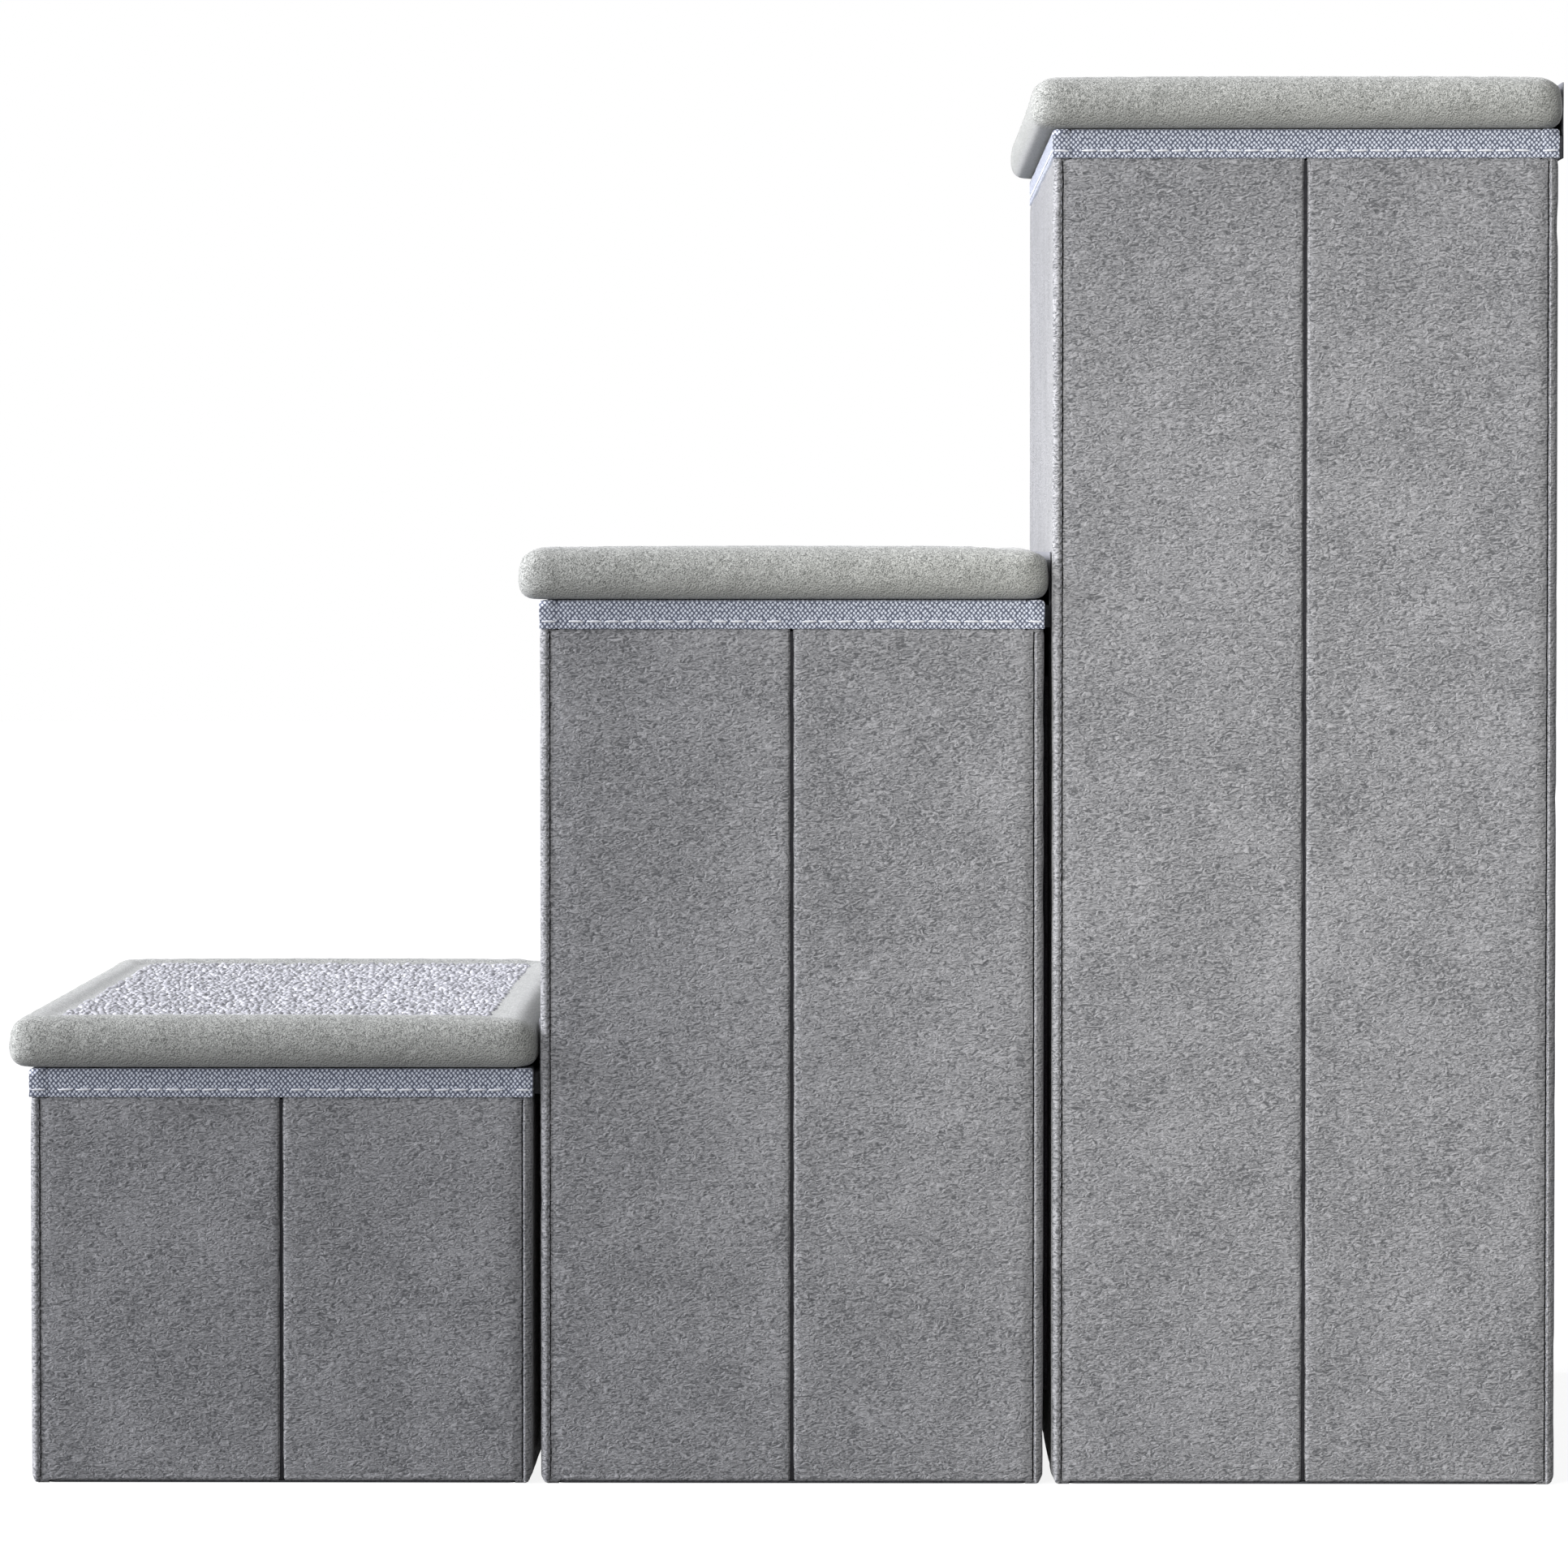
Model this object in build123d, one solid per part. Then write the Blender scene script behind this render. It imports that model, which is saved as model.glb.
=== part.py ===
from build123d import *
import os

# Pet stairs of three folding storage boxes, each with a padded lid that is the step.
# Millimetres, +Z up, +X towards the tall end, +Y away from the viewer.
# The origin is on the floor, at the centre of the whole object's outline.

# Steps
step_count = 3
riser_height = 180.0
box_length = 193.5
box_depth = 380.0
box_gap = 3.0

# Lids
lid_thickness = 19.7
lid_seat_gap = 0.3
lid_nose = 8.7
lid_side_reach = 5.0
lid_back_reach = 2.0
lid_corner_radius = 9.0
lid_side_draw = 0.9
lid_top_round = 6.0
lid_bottom_bevel = 3.0
lid_cover_wall = 2.2
lid_board_thickness = 5.0
lid_board_inset = 8.0
lid_board_corner = 5.0
lid_board_slack = 0.1
carpet_border = 18.0
carpet_thickness = 4.6
carpet_corner_radius = 7.0
carpet_edge_bevel = 1.2
carpet_fit_gap = 0.3

# Walls
end_wall_thickness = 7.0
side_wall_thickness = 5.5
cover_wall = 1.2
board_slack = 0.1
tape_height = 11.0
tape_thickness = 0.8
tape_rim_round = 1.5
end_edge_round = 2.4
end_foot_round = 4.0
side_edge_round = 1.3
side_foot_gap = 2.2
side_foot_round = 1.6

# Folding seams
corner_seam_gap = 0.5
middle_seam_gap = 0.6

# Cloth floor
floor_thickness = 1.4
floor_lift = 0.5
floor_seam_gap = 0.3
floor_corner_radius = 3.0

# Cloth hinge behind each lid
hinge_pivot_drop = 1.0
hinge_strip_thickness = 0.5
hinge_strip_clearance = 0.2
hinge_hem_height = 8.5
hinge_hem_drop = 2.0
hinge_end_inset = 12.0
hinge_top_clearance = 0.5

# Hook and loop strips between boxes
grip_width = 25.0
grip_end_inset = 30.0
grip_place_share = 0.32

rear_reach = lid_back_reach + hinge_strip_clearance + hinge_strip_thickness
total_length = lid_nose + step_count * box_length + (step_count - 1) * box_gap + rear_reach
first_front = lid_nose - total_length / 2

steps = range(1, step_count + 1)
lid_top = {k: k * riser_height for k in steps}
rim = {k: lid_top[k] - lid_thickness - lid_seat_gap for k in steps}
front_face = {k: first_front + (k - 1) * (box_length + box_gap) for k in steps}
back_face = {k: front_face[k] + box_length for k in steps}

nodes = {}


def add(name, *solids):
    """Puts solids into the node of this name."""
    nodes.setdefault(name, []).extend(solids)


def slab(length, thickness, height, round_over):
    """An upright slab on the XY plane, centred in X and Y, with its four upright edges rounded."""
    with BuildPart() as made:
        with BuildSketch():
            RectangleRounded(length, thickness, round_over)
        extrude(amount=height)
    return made.part


def profiled_slab(length, thickness, height, edge_round, foot_rounds, top_round):
    """An upright slab that is also rounded along its foot and its top.

    The first foot radius is towards -Y and the second towards +Y. The top radius is for both sides.
    """
    with BuildSketch(Plane.YZ) as profile:
        Rectangle(thickness, height, align=(Align.CENTER, Align.MIN))
        low = profile.vertices().sort_by(Axis.Y)[:2].sort_by(Axis.X)
        high = profile.vertices().sort_by(Axis.Y)[2:]
        for vertex, radius in [*zip(low, foot_rounds), *zip(high, (top_round, top_round))]:
            if radius:
                fillet(vertex, radius)
    upright = slab(length, thickness, height, edge_round)
    return upright & extrude(profile.sketch, amount=length / 2, both=True)


def wall(length, thickness, height, edge_round, foot_rounds, wraps_ends):
    """A wall's board, cover and binding tape, running along X with its foot at zero height."""
    end_turn = tape_thickness if wraps_ends else 0
    tongue = (length - 2 * end_turn, thickness - 2 * tape_thickness)
    bound_height = height - tape_height
    bound = profiled_slab(length, thickness, bound_height, edge_round, foot_rounds, 0)
    neck = Pos(0, 0, bound_height) * Box(
        *tongue, tape_height - tape_thickness, align=(Align.CENTER, Align.CENTER, Align.MIN)
    )
    pocket_size = (length - 2 * cover_wall - 2 * end_turn, thickness - 2 * cover_wall)
    pocket = Pos(0, 0, cover_wall) * Box(
        *pocket_size, height, align=(Align.CENTER, Align.CENTER, Align.MIN)
    )
    cover = bound + neck - pocket

    board_size = (pocket_size[0] - 2 * board_slack, pocket_size[1] - 2 * board_slack)
    board_height = height - tape_thickness - cover_wall - 2 * board_slack
    board = Pos(0, 0, cover_wall + board_slack) * Box(
        *board_size, board_height, align=(Align.CENTER, Align.CENTER, Align.MIN)
    )

    tape = profiled_slab(length, thickness, tape_height, edge_round, (0, 0), tape_rim_round)
    slot_length = tongue[0] if wraps_ends else 2 * length
    slot_height = tape_height - tape_thickness
    tape -= Box(slot_length, tongue[1], slot_height, align=(Align.CENTER, Align.CENTER, Align.MIN))
    tape = Pos(0, 0, bound_height) * tape
    return board, cover, tape


def end_wall(step, at_front):
    """The front or back wall of a box, across its whole depth, with its outer foot rounded."""
    outward = -1 if at_front else 1
    face = front_face[step] if at_front else back_face[step]
    place = Pos(face - outward * end_wall_thickness / 2, 0, 0) * Rot(0, 0, -90)
    foot_rounds = (end_foot_round, 0) if at_front else (0, end_foot_round)
    pieces = wall(box_depth, end_wall_thickness, rim[step], end_edge_round, foot_rounds, True)
    return [place * piece for piece in pieces]


def side_half(step, at_front, near):
    """One folding half of a side wall, between the end walls and flush with their ends."""
    start = front_face[step] + end_wall_thickness + corner_seam_gap
    end = back_face[step] - end_wall_thickness - corner_seam_gap
    length = (end - start - middle_seam_gap) / 2
    height = rim[step] - side_foot_gap
    foot_rounds = (side_foot_round, side_foot_round)
    pieces = wall(length, side_wall_thickness, height, side_edge_round, foot_rounds, False)
    centre_x = start + length / 2 if at_front else end - length / 2
    centre_y = (box_depth - side_wall_thickness) / 2
    place = Pos(centre_x, -centre_y if near else centre_y, side_foot_gap)
    return [place * piece for piece in pieces]


def hinge_strip(step):
    """The cloth hinge: a thick hem sewn on the rear binding and a thin web up behind the lid."""
    web_outer = back_face[step] + rear_reach
    web_inner = web_outer - hinge_strip_thickness
    hem_top = rim[step] - hinge_hem_drop
    hem_foot = hem_top - hinge_hem_height
    web_top = lid_top[step] - hinge_pivot_drop - hinge_top_clearance
    outline = Polyline(
        (back_face[step], 0, hem_foot),
        (web_outer, 0, hem_foot),
        (web_outer, 0, web_top),
        (web_inner, 0, web_top),
        (web_inner, 0, hem_top),
        (back_face[step], 0, hem_top),
        close=True,
    )
    half = box_depth / 2 - hinge_end_inset
    return extrude(make_face(outline), amount=half, dir=(0, 1, 0), both=True)


def grip_strips(step):
    """Hook strips on one box's back wall and loop strips on the next box's front wall, pressed together."""
    half_gap = box_gap / 2
    height = rim[step] - 2 * grip_end_inset
    strips = []
    for side in (-1, 1):
        for layer in (0, 1):
            place = Pos(
                back_face[step] + layer * half_gap, side * grip_place_share * box_depth, grip_end_inset
            )
            strips.append(
                place * Box(half_gap, grip_width, height, align=(Align.MIN, Align.CENTER, Align.MIN))
            )
    return strips


def floor_cloth(step):
    """The soft floor, sewn in under the side walls and between the end walls."""
    seams = 2 * (end_wall_thickness + floor_seam_gap)
    width = box_depth - 2 * side_wall_thickness + 2 * (side_wall_thickness - side_foot_round)
    cloth = slab(box_length - seams, width, floor_thickness, floor_corner_radius)
    return Pos((front_face[step] + back_face[step]) / 2, 0, floor_lift) * cloth


def pad_outline(length, width, draw):
    """A rectangle whose sides are drawn in by a shallow arc each, with rounded corners."""
    with BuildSketch() as made:
        with BuildLine():
            half_l, half_w = length / 2, width / 2
            ThreePointArc((-half_l, -half_w), (0, draw - half_w), (half_l, -half_w))
            ThreePointArc((half_l, -half_w), (half_l - draw, 0), (half_l, half_w))
            ThreePointArc((half_l, half_w), (0, half_w - draw), (-half_l, half_w))
            ThreePointArc((-half_l, half_w), (draw - half_l, 0), (-half_l, -half_w))
        make_face()
        fillet(made.vertices(), lid_corner_radius)
    return made.sketch


def lid(step):
    """A step's lid: its board, the plush pad round it, and the carpet let into the top."""
    start = front_face[step] - lid_nose
    end = back_face[step] + lid_back_reach
    length, width = end - start, box_depth + 2 * lid_side_reach
    underside = rim[step] + lid_seat_gap
    middle = Pos((start + end) / 2, 0, underside)

    pad = extrude(pad_outline(length, width, lid_side_draw), amount=lid_thickness)
    pad = fillet(pad.faces().sort_by(Axis.Z)[-1].edges(), lid_top_round)
    pad = chamfer(pad.faces().sort_by(Axis.Z)[0].edges(), lid_bottom_bevel)

    carpet_size = (length - 2 * carpet_border, width - 2 * carpet_border)
    carpet_foot = lid_thickness - carpet_thickness
    carpet = Pos(0, 0, carpet_foot) * slab(*carpet_size, carpet_thickness, carpet_corner_radius)
    recess = Pos(0, 0, carpet_foot) * slab(
        carpet_size[0] + 2 * carpet_fit_gap,
        carpet_size[1] + 2 * carpet_fit_gap,
        lid_thickness,
        carpet_corner_radius + carpet_fit_gap,
    )
    carpet = chamfer(carpet.faces().sort_by(Axis.Z)[-1].edges(), carpet_edge_bevel)

    board_size = (length - 2 * lid_board_inset, width - 2 * lid_board_inset)
    board = Pos(0, 0, lid_cover_wall) * slab(*board_size, lid_board_thickness, lid_board_corner)
    cavity = Pos(0, 0, lid_cover_wall - lid_board_slack) * slab(
        board_size[0] + 2 * lid_board_slack,
        board_size[1] + 2 * lid_board_slack,
        lid_board_thickness + 2 * lid_board_slack,
        lid_board_corner + lid_board_slack,
    )
    return middle * board, middle * (pad - recess - cavity), middle * carpet


def add_walls(names, pieces):
    """Puts a wall's board, cover and binding into three nodes."""
    for name, piece in zip(names, pieces):
        add(name, piece)


def riser_names(step):
    """The nodes shared by a box's back wall and the next box's front wall."""
    joined = f"{step}_{step + 1}"
    return f"riser_boards_{joined}", f"riser_covers_{joined}", f"riser_bindings_{joined}"


for step in steps:
    first, last = step == 1, step == step_count
    front_names = ("front_board_1", "front_cover_1", "front_binding_1")
    back_names = (f"back_board_{step}", f"back_cover_{step}", f"back_binding_{step}")
    add_walls(front_names if first else riser_names(step - 1), end_wall(step, True))
    add_walls(back_names if last else riser_names(step), end_wall(step, False))
    add(back_names[2] if last else riser_names(step)[2], hinge_strip(step))
    if not last:
        add(riser_names(step)[1], *grip_strips(step))
    for near in (True, False):
        for at_front in (True, False):
            half = f"{'near' if near else 'far'}_{'front' if at_front else 'rear'}"
            half_names = (f"{half}_board_{step}", f"{half}_cover_{step}", f"{half}_binding_{step}")
            add_walls(half_names, side_half(step, at_front, near))
    for piece_name, piece in zip(("lid_board", "lid_pad", "lid_carpet"), lid(step)):
        add(f"{piece_name}_{step}", piece)
    add(f"floor_cloth_{step}", floor_cloth(step))

os.makedirs("parts", exist_ok=True)
for name, solids in nodes.items():
    whole = solids[0] if len(solids) == 1 else Compound(children=solids)
    export_step(whole, f"parts/{name}.step")
print(len(nodes), "nodes, overall length", round(total_length, 1))
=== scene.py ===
import math
import random

import bmesh
import bpy
from mathutils import Matrix, Vector, noise


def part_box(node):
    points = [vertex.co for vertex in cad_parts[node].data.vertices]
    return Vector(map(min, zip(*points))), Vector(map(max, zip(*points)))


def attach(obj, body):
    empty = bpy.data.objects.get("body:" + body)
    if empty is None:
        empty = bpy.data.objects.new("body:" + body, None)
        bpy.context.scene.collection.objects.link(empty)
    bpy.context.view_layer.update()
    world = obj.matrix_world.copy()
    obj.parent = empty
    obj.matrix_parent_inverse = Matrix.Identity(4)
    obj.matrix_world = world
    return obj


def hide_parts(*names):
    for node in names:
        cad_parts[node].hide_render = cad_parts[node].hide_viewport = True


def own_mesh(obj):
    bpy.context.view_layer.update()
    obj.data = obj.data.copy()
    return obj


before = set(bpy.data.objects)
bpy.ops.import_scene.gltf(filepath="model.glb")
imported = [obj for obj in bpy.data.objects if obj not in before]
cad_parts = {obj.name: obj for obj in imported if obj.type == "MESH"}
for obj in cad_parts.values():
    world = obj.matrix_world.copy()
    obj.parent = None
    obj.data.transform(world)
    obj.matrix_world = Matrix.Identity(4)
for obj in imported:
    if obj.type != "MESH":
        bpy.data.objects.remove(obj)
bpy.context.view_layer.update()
scene = bpy.context.scene
mm = 0.001


# Nodes and meshes

def toLinear(hexColour):
    parts = [int(hexColour[i:i + 2], 16) / 255 for i in (1, 3, 5)]
    return [*(p / 12.92 if p <= 0.04045 else ((p + 0.055) / 1.055) ** 2.4 for p in parts), 1]


def addNode(material, kind, settings=None, links=None):
    # A setting is an input socket by its name or number, or else a property of the node
    node = material.node_tree.nodes.new(kind)
    for name, value in (settings or {}).items():
        if isinstance(name, int) or name in node.inputs:
            node.inputs[name].default_value = value
        else:
            setattr(node, name, value)
    for name, source in (links or {}).items():
        material.node_tree.links.new(source, node.inputs[name])
    return node


def newMaterial(name):
    material = bpy.data.materials.new(name)
    material.use_nodes = True
    material.node_tree.nodes.clear()
    return material


def setRamp(node, stops):
    ramp = node.color_ramp
    while len(ramp.elements) < len(stops):
        ramp.elements.new(0.5)
    for element, (place, colour) in zip(ramp.elements, stops):
        element.position = place
        element.color = toLinear(colour)
    return node.outputs["Color"]


def finishSurface(material, colour, height, bump, surface):
    bumped = addNode(material, "ShaderNodeBump", bump, {"Height": height})
    shader = addNode(
        material, "ShaderNodeBsdfPrincipled", surface,
        {"Base Color": colour, "Normal": bumped.outputs["Normal"]},
    )
    addNode(material, "ShaderNodeOutputMaterial", None, {"Surface": shader.outputs["BSDF"]})
    return material


# Short-nap velvet in fine crooked locks, with painted relief shade: each lock lighter on one side and darker
# on the other
velvet = {
    "dark": "#5d5e60", "light": "#aeaeb0", "lock": 1.5 * mm, "lockStretch": (0.55, 0.55, 1.1),
    "loopTiltAndShadeShift": 0.34 * mm, "hair": 0.4 * mm, "hairShare": 0.22, "cloudShare": 0.25, "cloud": 30 * mm,
    "lift": 0.5 * mm, "surface": {"Roughness": 0.95, "Sheen Weight": 0.4, "Sheen Roughness": 0.4},
}
# Plush: a longer, softer pile than the sides have, in curls that lie every way, a trace greener, and with the
# same painted relief shade
plush = {
    "dark": "#6b6d69", "light": "#c3c4bf", "lock": 1.0 * mm, "lockStretch": (1, 1, 1),
    "loopTiltAndShadeShift": 0.24 * mm, "hair": 0.35 * mm, "hairShare": 0.25, "cloudShare": 0.12, "cloud": 14 * mm,
    "lift": 0.22 * mm, "surface": {"Roughness": 1.0, "Sheen Weight": 0.25, "Sheen Roughness": 0.5},
}
# Settings of the painted relief shade: crook of the locks, downward part of the copy's shift, gain, and the
# colour ramp
paintedPileShade = {"crook": 1.6, "shadeShiftDown": 1.3, "gain": 1.5, "rampFrom": 0.3, "rampTo": 0.7}


def makePile(name, look):
    # The difference of two shifted copies of the locks is painted into the colour as light on one side of
    # each lock and shade on the other
    material = newMaterial(name)
    place = addNode(material, "ShaderNodeTexCoord").outputs["Object"]
    locks = []
    # The second copy is shifted by the shade shift, and its difference from the first is the painted shade
    for loopTiltAndShadeShift in (0, look["loopTiltAndShadeShift"]):
        lockSpace = addNode(
            material, "ShaderNodeMapping",
            {"Location": (loopTiltAndShadeShift, loopTiltAndShadeShift, -paintedPileShade["shadeShiftDown"] * loopTiltAndShadeShift), "Scale": look["lockStretch"]},
            {"Vector": place},
        )
        lock = addNode(
            material, "ShaderNodeTexNoise",
            {"Scale": 1 / look["lock"], "Detail": 1, "Roughness": 0.5, "Distortion": paintedPileShade["crook"]},
            {"Vector": lockSpace.outputs["Vector"]},
        )
        locks.append(lock.outputs["Fac"])
    slope = addNode(material, "ShaderNodeMath", {"operation": "SUBTRACT"}, {0: locks[0], 1: locks[1]})
    paintedLockShade = addNode(
        material, "ShaderNodeMath", {"operation": "MULTIPLY_ADD", 1: paintedPileShade["gain"], 2: 0.5},
        {0: slope.outputs[0]},
    )
    hair = addNode(
        material, "ShaderNodeTexNoise", {"Scale": 1 / look["hair"], "Detail": 1.5, "Roughness": 0.6},
        {"Vector": place},
    )
    paintedShadeAndHair = addNode(
        material, "ShaderNodeMix", {"data_type": "FLOAT", "Factor": look["hairShare"]},
        {2: paintedLockShade.outputs[0], 3: hair.outputs["Fac"]},
    )
    cloud = addNode(
        material, "ShaderNodeTexNoise", {"Scale": 1 / look["cloud"], "Detail": 4, "Roughness": 0.6},
        {"Vector": place},
    )
    shade = addNode(
        material, "ShaderNodeMix", {"data_type": "FLOAT", "Factor": look["cloudShare"]},
        {2: paintedShadeAndHair.outputs["Result"], 3: cloud.outputs["Fac"]},
    )
    ramp = addNode(material, "ShaderNodeValToRGB", None, {"Fac": shade.outputs["Result"]})
    colour = setRamp(ramp, [(paintedPileShade["rampFrom"], look["dark"]), (paintedPileShade["rampTo"], look["light"])])
    return finishSurface(
        material, colour, locks[0], {"Distance": look["lift"], "Strength": 1.0}, look["surface"]
    )


# Looped nylon carpet: each loop a slightly different grey, with fine filaments
loopYarn = {
    "dark": "#8c8c92", "light": "#d6d6db", "rampFrom": 0.32, "rampTo": 0.62, "loop": 5 * mm,
    "filament": 0.4 * mm, "lift": 0.18 * mm,
    "surface": {"Roughness": 0.9, "Sheen Weight": 0.1, "Specular IOR Level": 0.2},
}


def makeLoopYarn():
    material = newMaterial("loopedNylon")
    place = addNode(material, "ShaderNodeTexCoord").outputs["Object"]
    loop = addNode(
        material, "ShaderNodeTexNoise", {"Scale": 1 / loopYarn["loop"], "Detail": 2, "Roughness": 0.7},
        {"Vector": place},
    )
    filament = addNode(
        material, "ShaderNodeTexNoise", {"Scale": 1 / loopYarn["filament"], "Detail": 1, "Distortion": 2.0},
        {"Vector": place},
    )
    ramp = addNode(material, "ShaderNodeValToRGB", None, {"Fac": loop.outputs["Fac"]})
    stops = [(loopYarn["rampFrom"], loopYarn["dark"]), (loopYarn["rampTo"], loopYarn["light"])]
    colour = setRamp(ramp, stops)
    return finishSurface(
        material, colour, filament.outputs["Fac"], {"Distance": loopYarn["lift"], "Strength": 0.7},
        loopYarn["surface"],
    )


# Plain cloths, threads and board: each a flecked colour with a fine grain, grain and lift in real sizes
def makeFlecked(name, dark, light, grain, lift, surface, stretch=(1, 1, 1)):
    material = newMaterial(name)
    place = addNode(material, "ShaderNodeTexCoord").outputs["Object"]
    turned = addNode(material, "ShaderNodeMapping", {"Scale": stretch}, {"Vector": place})
    fleck = addNode(
        material, "ShaderNodeTexNoise", {"Scale": 1 / grain, "Detail": 3, "Roughness": 0.65},
        {"Vector": turned.outputs["Vector"]},
    )
    ramp = addNode(material, "ShaderNodeValToRGB", None, {"Fac": fleck.outputs["Fac"]})
    colour = setRamp(ramp, [(0.3, dark), (0.7, light)])
    return finishSurface(material, colour, fleck.outputs["Fac"], {"Distance": lift, "Strength": 0.6}, surface)


# Woven tape: white weft floats stand as dots on a dark ground, in diagonal rows
weave = {
    "ground": "#5d6272", "dot": "#dce1ec", "dotTo": 0.26, "groundFrom": 0.44, "pitch": 1.25 * mm,
    "slant": 45, "squeeze": 0.86, "stray": 0.25, "lift": 0.2 * mm,
    "surface": {"Roughness": 0.75, "Sheen Weight": 0.1, "Specular IOR Level": 0.3},
}


def makeWovenTape():
    material = newMaterial("dottedWovenTape")
    run = addNode(material, "ShaderNodeUVMap", {"uv_map": "run"}).outputs["UV"]
    turned = addNode(
        material, "ShaderNodeMapping",
        {"Rotation": (0, 0, math.radians(weave["slant"])), "Scale": (1.0, weave["squeeze"], 1.0)},
        {"Vector": run},
    )
    dots = addNode(
        material, "ShaderNodeTexVoronoi",
        {"voronoi_dimensions": "2D", "Scale": 1 / weave["pitch"], "Randomness": weave["stray"]},
        {"Vector": turned.outputs["Vector"]},
    )
    ramp = addNode(material, "ShaderNodeValToRGB", None, {"Fac": dots.outputs["Distance"]})
    colour = setRamp(ramp, [(weave["dotTo"], weave["dot"]), (weave["groundFrom"], weave["ground"])])
    height = addNode(
        material, "ShaderNodeMath", {"operation": "SUBTRACT", 0: 1.0}, {1: dots.outputs["Distance"]}
    )
    return finishSurface(
        material, colour, height.outputs[0], {"Distance": weave["lift"], "Strength": 0.8}, weave["surface"]
    )


velvetFinish = makePile("shortNapVelvet", velvet)
plushFinish = makePile("plushVelour", plush)
yarnFinish = makeLoopYarn()
tapeFinish = makeWovenTape()
softCloth = {"Roughness": 0.95, "Sheen Weight": 0.15, "Specular IOR Level": 0.15}
threadFinish = makeFlecked("spunPolyesterThread", "#d5d7dc", "#fbfbfd", 0.3 * mm, 0.05 * mm, softCloth)
greyThreadFinish = makeFlecked("greyPolyesterThread", "#77787d", "#a3a4a9", 0.3 * mm, 0.05 * mm, softCloth)
# The backing's dark grey is partly painted shade, for the gaps between the carpet's loops
backingFinish = makeFlecked("carpetBacking", "#434347", "#66666b", 0.9 * mm, 0.15 * mm, softCloth)
feltFinish = makeFlecked("needledFelt", "#3f4043", "#6b6c70", 0.8 * mm, 0.15 * mm, softCloth)
hingeFinish = makeFlecked(
    "twillHingeCloth", "#6a6b70", "#97989d", 0.6 * mm, 0.1 * mm, softCloth, (1, 2.2, 2.2)
)
# Near black: painted shade for the strip deep in a side wall's seam
seamShadowFinish = makeFlecked("paintedShadowSeamTwill", "#242427", "#3c3c40", 0.6 * mm, 0.1 * mm, softCloth)
gripFinish = makeFlecked("hookAndLoopNylon", "#8d8e92", "#c9cace", 0.5 * mm, 0.3 * mm, softCloth)
boardFinish = makeFlecked(
    "pressedFibreboard", "#86694a", "#b3946b", 1.6 * mm, 0.05 * mm,
    {"Roughness": 0.8, "Specular IOR Level": 0.3}, (1, 1, 0.35),
)
print("finishes made")


def meshFrom(made, name):
    mesh = bpy.data.meshes.new(name)
    made.to_mesh(mesh)
    made.free()
    return mesh


def copiesMesh(name, shape, moves):
    # Copied in small groups, because a growing mesh is slow to add to
    groupSize = 50
    whole = bmesh.new()
    for start in range(0, len(moves), groupSize):
        group = bmesh.new()
        for move in moves[start:start + groupSize]:
            before = len(group.verts)
            group.from_mesh(shape)
            group.verts.ensure_lookup_table()
            bmesh.ops.transform(group, matrix=move, verts=group.verts[before:])
        whole.from_mesh(meshFrom(group, "group"))
    return meshFrom(whole, name)


def showPiece(name, mesh, body, finish, stands=()):
    piece = bpy.data.objects.new(name, mesh)
    scene.collection.objects.link(piece)
    mesh.materials.append(finish)
    mesh.polygons.foreach_set("use_smooth", [True] * len(mesh.polygons))
    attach(piece, body)
    if stands:
        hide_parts(*stands)
    return piece


def blockMesh(low, high):
    made = bmesh.new()
    low, high = Vector(low), Vector(high)
    bmesh.ops.create_cube(
        made, size=1, matrix=Matrix.Translation((low + high) / 2) @ Matrix.Diagonal((*(high - low), 1))
    )
    return made


def roundEdges(made, chosen, radius, segments=3):
    bmesh.ops.bevel(
        made, geom=chosen, offset=radius, offset_type="OFFSET", affect="EDGES", segments=segments,
        profile=0.5, material=-1, clamp_overlap=True,
    )


def runsAlong(edge, axis):
    across = edge.verts[0].co - edge.verts[1].co
    return abs(abs(across[axis]) - across.length) < 1e-7 and across.length > 1e-5


def cutAcross(made, axis, places):
    normal = Vector([axis == i for i in range(3)])
    for place in places:
        everything = made.verts[:] + made.edges[:] + made.faces[:]
        bmesh.ops.bisect_plane(made, geom=everything, plane_co=normal * place, plane_no=normal, dist=1e-7)


def evenCuts(start, end, spacing):
    count = max(1, round((end - start) / spacing))
    return [start + (end - start) * i / count for i in range(1, count)]


def easeStep(value):
    value = min(1, max(0, value))
    return value * value * (3 - 2 * value)


# Sizes of the boxes, read from the solids
steps = (1, 2, 3)
endThickness = 7 * mm
sideThickness = 5.5 * mm
tapeHeight = 11 * mm
seamGap = 0.5 * mm
boxes = {}
for k in steps:
    nearFront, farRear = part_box(f"near_front_cover_{k}"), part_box(f"far_rear_cover_{k}")
    binding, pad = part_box(f"near_front_binding_{k}"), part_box(f"lid_pad_{k}")
    boxes[k] = {
        "front": nearFront[0].x - endThickness - seamGap, "back": farRear[1].x + endThickness + seamGap,
        "near": nearFront[0].y, "far": farRear[1].y, "rim": binding[1].z,
        "middleLow": nearFront[1].x, "middleHigh": farRear[0].x, "lidLow": pad[0], "lidHigh": pad[1],
    }
endBodies = {
    (1, "front"): "front_1", (1, "back"): "riser_1_2", (2, "front"): "riser_1_2",
    (2, "back"): "riser_2_3", (3, "front"): "riser_2_3", (3, "back"): "back_3",
}


def endNode(kind, k, end):
    # The two walls of a riser share one node
    body = endBodies[k, end]
    if body.startswith("riser"):
        return f"riser_{kind}s_{body[6:]}"
    return f"{end}_{kind}_{k}"


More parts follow.
